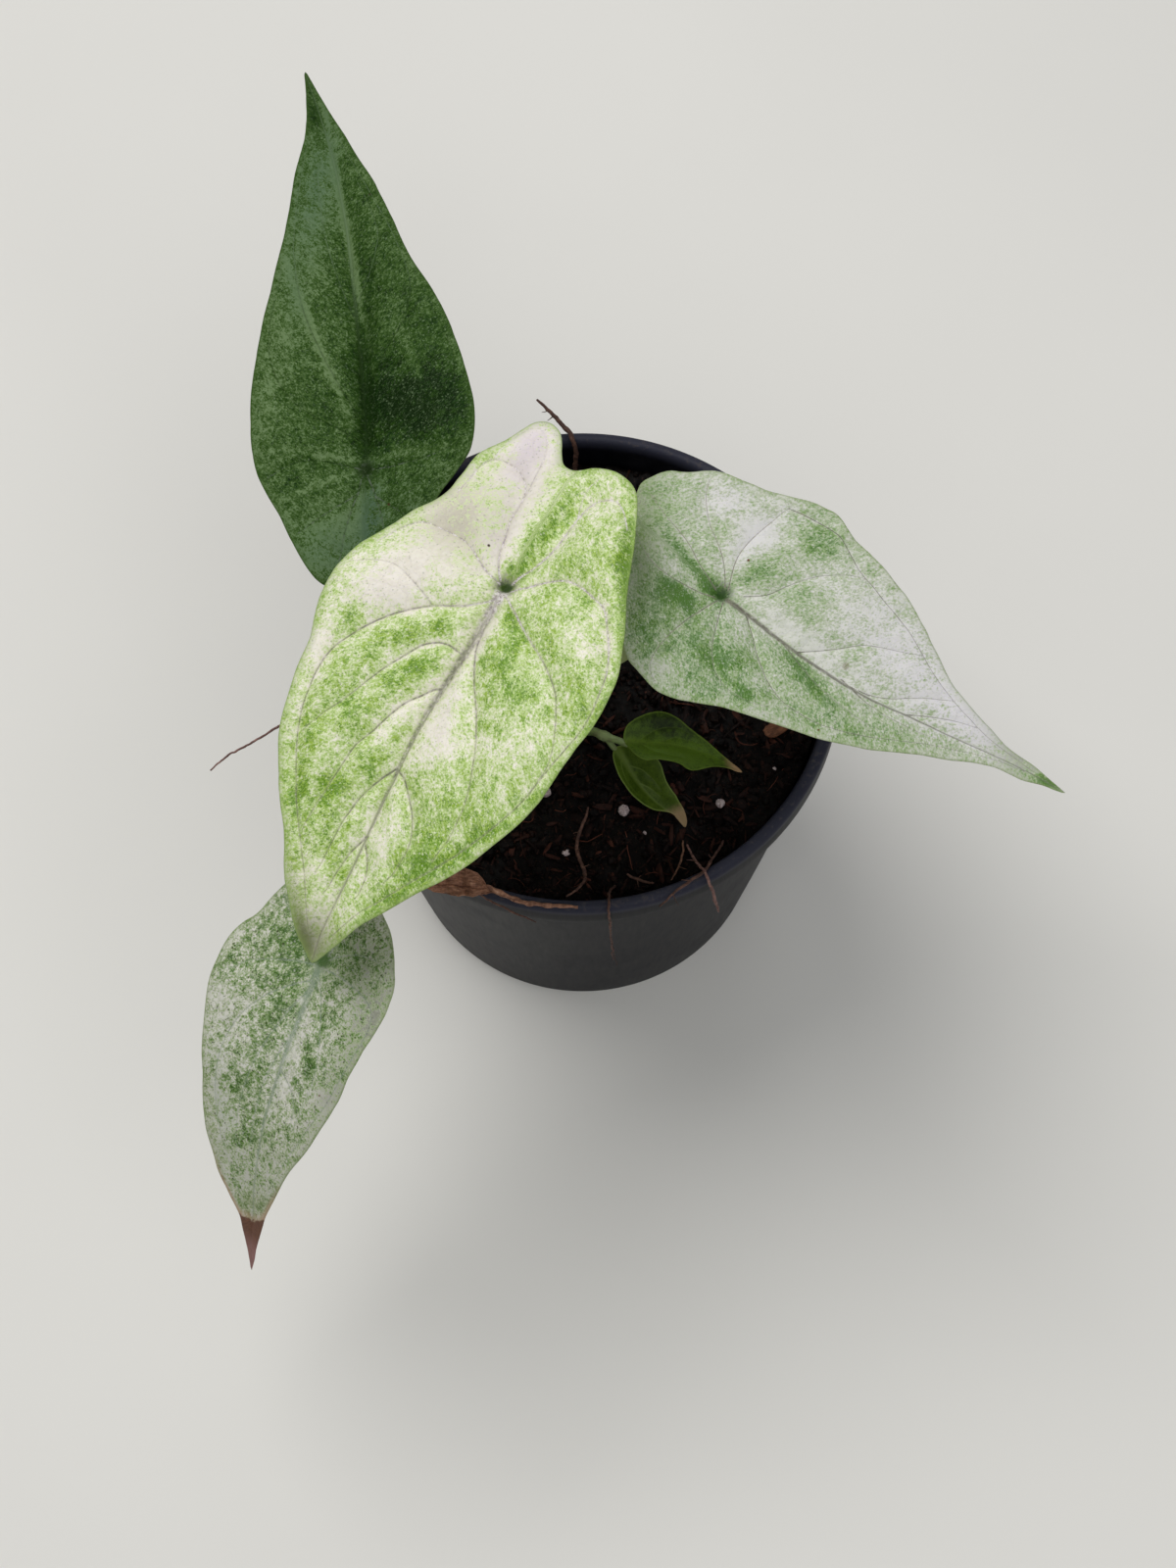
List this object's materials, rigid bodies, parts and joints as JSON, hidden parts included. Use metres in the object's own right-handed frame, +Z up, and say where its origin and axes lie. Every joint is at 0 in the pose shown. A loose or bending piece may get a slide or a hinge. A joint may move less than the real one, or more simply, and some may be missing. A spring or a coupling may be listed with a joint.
{
  "type": "potted alocasia scalprum",
  "caption": "Small aroid house plant with variegated arrow-shaped peltate leaves on slender stalks, rooted in a round black nursery pot.",
  "frame": {"origin": "centre of the pot's flat standing face", "axes": "+Z up, +X to the right and -Y towards the viewer of the pictured side"},
  "size_m": [0.1861, 0.2555, 0.1833],
  "materials": {
    "pot": "thin black nursery plastic, satin, fine moulding texture",
    "potting_mix": "damp coco chips and peat, dark brown, coarse and matt",
    "crown": "short brown corm, rough and fibrous",
    "petiole": "smooth pale green stalk, faintly mottled, satin",
    "blade_green": "deep green leathery blade with fine pale mottling",
    "blade_cream": "cream blade speckled with yellow green, lilac grey veins",
    "blade_silver": "silvery white blade speckled with mid green, grey veins",
    "young_leaf": "soft olive green young blade, glossy, beige tip",
    "dry_leaf": "papery tan dead blade and stalk",
    "root": "thin brown aerial roots and fibres, matt",
    "perlite": "off white expanded mineral grain, matt and pitted",
    "bark": "reddish brown chip, rough"
  },
  "bodies": {
    "root": {"pot": "pot", "potting_mix": "potting_mix", "rhizome": "crown", "petiole_rear": "petiole", "petiole_centre": "petiole", "petiole_right": "petiole", "petiole_front": "petiole", "offset_stalk": "petiole", "leaf_rear": "blade_green", "leaf_centre": "blade_cream", "leaf_right": "blade_silver", "leaf_front": "blade_silver", "offset_leaf_upper": "young_leaf", "offset_leaf_lower": "young_leaf", "dry_leaf": "dry_leaf", "root_curled": "root", "root_over_rim_a": "root", "root_over_rim_b": "root", "root_hanging": "root", "root_rear": "root", "root_left": "root", "fibre_front": "root", "root_stub": "root", "fibre_rim": "root", "perlite_1": "perlite", "perlite_2": "perlite", "perlite_3": "perlite", "perlite_4": "perlite", "perlite_5": "perlite", "bark_chip_1": "bark", "bark_chip_2": "bark", "bark_chip_3": "bark"}
  },
  "joints": []
}
